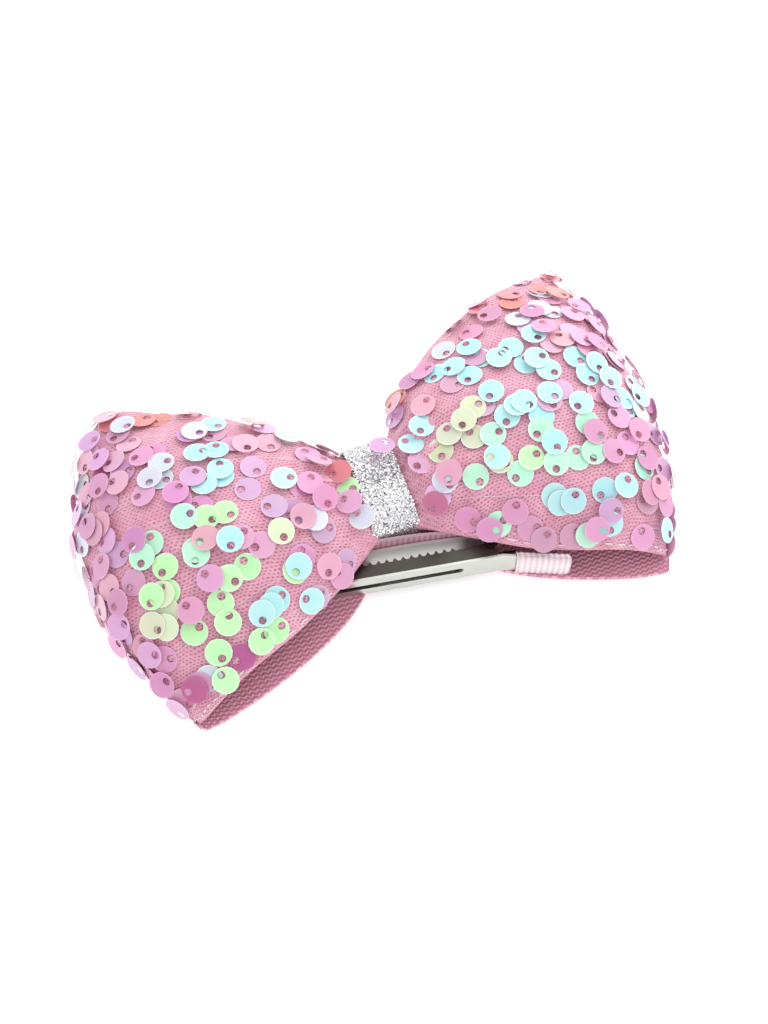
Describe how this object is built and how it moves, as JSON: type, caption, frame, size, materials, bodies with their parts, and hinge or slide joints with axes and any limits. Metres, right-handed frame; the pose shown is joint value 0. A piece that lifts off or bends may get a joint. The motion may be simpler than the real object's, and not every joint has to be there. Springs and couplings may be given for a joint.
{
  "type": "hair bow",
  "caption": "Pink sequin hair bow with two open loops, a silver glitter centre band and a toothed steel alligator clip.",
  "frame": {"origin": "middle of the bow's footprint, on the plane its back panels lie on", "axes": "+X along the bow towards the clip's lever, +Y across it away from the clip, +Z out of the bow's front"},
  "size_m": [0.12, 0.0701, 0.0212],
  "materials": {
    "sequin_knit": "matte",
    "tricot": "matte",
    "sequin": "iridescent gloss",
    "thread": "matte",
    "glitter": "glitter",
    "glue": "satin",
    "ribbon": "satin",
    "clip_steel": "polished",
    "pin_steel": "satin"
  },
  "bodies": {
    "bow": {"left_front_panel": "sequin_knit", "right_front_panel": "sequin_knit", "left_back_panel": "tricot", "right_back_panel": "tricot", "left_sequins": "sequin", "right_sequins": "sequin", "centre_gather": "sequin_knit", "gather_thread": "thread", "glitter_band": "glitter", "glue_pad": "glue", "jaw_ribbon": "ribbon", "clip_fixed_jaw": "clip_steel", "pivot_pin": "pin_steel", "torsion_spring": "pin_steel"},
    "free_jaw": {"clip_free_jaw": "clip_steel", "lever_ribbon": "ribbon"}
  },
  "joints": [
    {"name": "jaw_open", "type": "hinge", "parent": "bow", "child": "free_jaw", "pos_m": [0.017, -0.0191, 0.0056], "axis": [0, 0, 1], "range_deg": [0, 22], "stiffness_Nm_per_rad": 0.08, "springref_deg": -28.65, "deforming": ["torsion_spring"]}
  ]
}
